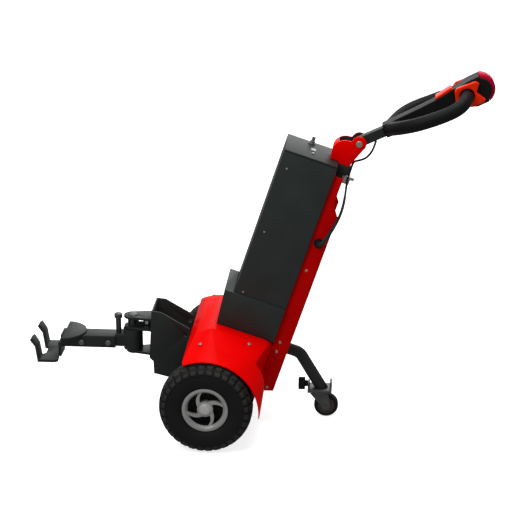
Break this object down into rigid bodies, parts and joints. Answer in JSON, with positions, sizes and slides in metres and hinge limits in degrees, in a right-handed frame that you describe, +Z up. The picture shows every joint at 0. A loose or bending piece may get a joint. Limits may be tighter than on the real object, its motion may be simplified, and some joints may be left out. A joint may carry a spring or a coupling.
{
  "type": "pedestrian electric tow tug",
  "caption": "Walk-behind battery tow tug: drive wheels under a moulded cover, leaning column with battery case, hinged tiller, swivelling tow hook and tail caster",
  "frame": {"origin": "middle of the object's box in X and Y, on the floor", "axes": "+X to the operator's end, +Y to the operator's right when facing the hook, +Z up"},
  "size_m": [1.2924, 0.563, 1.0247],
  "materials": {
    "red_paint": "gloss",
    "black_paint": "satin",
    "zinc_steel": "satin",
    "black_plastic": "matte",
    "black_rubber": "matte",
    "tyre_rubber": "matte",
    "cast_rim": "satin",
    "switch_orange": "gloss",
    "belly_red": "gloss"
  },
  "bodies": {
    "chassis": {"wheel_cover": "red_paint", "chassis_frame": "black_paint", "drive_unit": "black_paint", "column": "red_paint", "battery_tray": "black_paint", "battery_case": "black_paint", "battery_lid": "black_paint", "key_switch": "zinc_steel", "charge_gauge": "black_plastic", "body_screws": "zinc_steel", "front_guard": "black_paint", "coupling": "black_paint", "coupling_pin": "zinc_steel", "tail_leg": "black_paint", "caster_plate": "zinc_steel", "tail_knob": "black_plastic", "tiller_post": "black_paint", "clamp_block": "zinc_steel", "tiller_bracket": "red_paint", "pivot_bolt": "zinc_steel", "cable_gland": "black_plastic", "lead_run": "black_rubber", "lead_loop": "black_rubber"},
    "left_wheel": {"left_tyre": "tyre_rubber", "left_rim": "cast_rim", "left_hub": "cast_rim"},
    "right_wheel": {"right_tyre": "tyre_rubber", "right_rim": "cast_rim", "right_hub": "cast_rim"},
    "tow_arm": {"tow_barrel": "black_paint", "tow_tube": "black_paint", "lock_post": "zinc_steel", "push_plate": "black_paint", "tow_hook": "black_paint", "arm_bolts": "zinc_steel"},
    "tiller": {"tiller_shaft": "black_paint", "handle_grips": "black_plastic", "handle_spine": "black_plastic", "thumb_levers": "switch_orange", "top_button": "switch_orange", "end_cap": "belly_red"},
    "caster_swivel": {"caster_fork": "zinc_steel"},
    "caster_wheel": {"caster_tyre": "black_rubber", "caster_hub": "black_plastic"}
  },
  "joints": [
    {"name": "left_wheel_spin", "type": "hinge", "parent": "chassis", "child": "left_wheel", "pos_m": [-0.12116, -0.239, 0.13], "axis": [0, 1, 0], "continuous": true},
    {"name": "right_wheel_spin", "type": "hinge", "parent": "chassis", "child": "right_wheel", "pos_m": [-0.12116, 0.239, 0.13], "axis": [0, 1, 0], "continuous": true},
    {"name": "tow_arm_swivel", "type": "hinge", "parent": "chassis", "child": "tow_arm", "pos_m": [-0.35716, 0, 0.24], "axis": [0, 0, 1], "range_deg": [-45, 45]},
    {"name": "tiller_hinge", "type": "hinge", "parent": "chassis", "child": "tiller", "pos_m": [0.28436, 0, 0.82615], "axis": [0, 1, 0], "range_deg": [-60, 40], "deforming": ["lead_loop"]},
    {"name": "caster_swivel_turn", "type": "hinge", "parent": "chassis", "child": "caster_swivel", "pos_m": [0.18479, 0, 0.078], "axis": [0, 0, 1], "continuous": true},
    {"name": "caster_wheel_spin", "type": "hinge", "parent": "caster_swivel", "child": "caster_wheel", "pos_m": [0.20479, 0, 0.035], "axis": [0, 1, 0], "continuous": true}
  ]
}
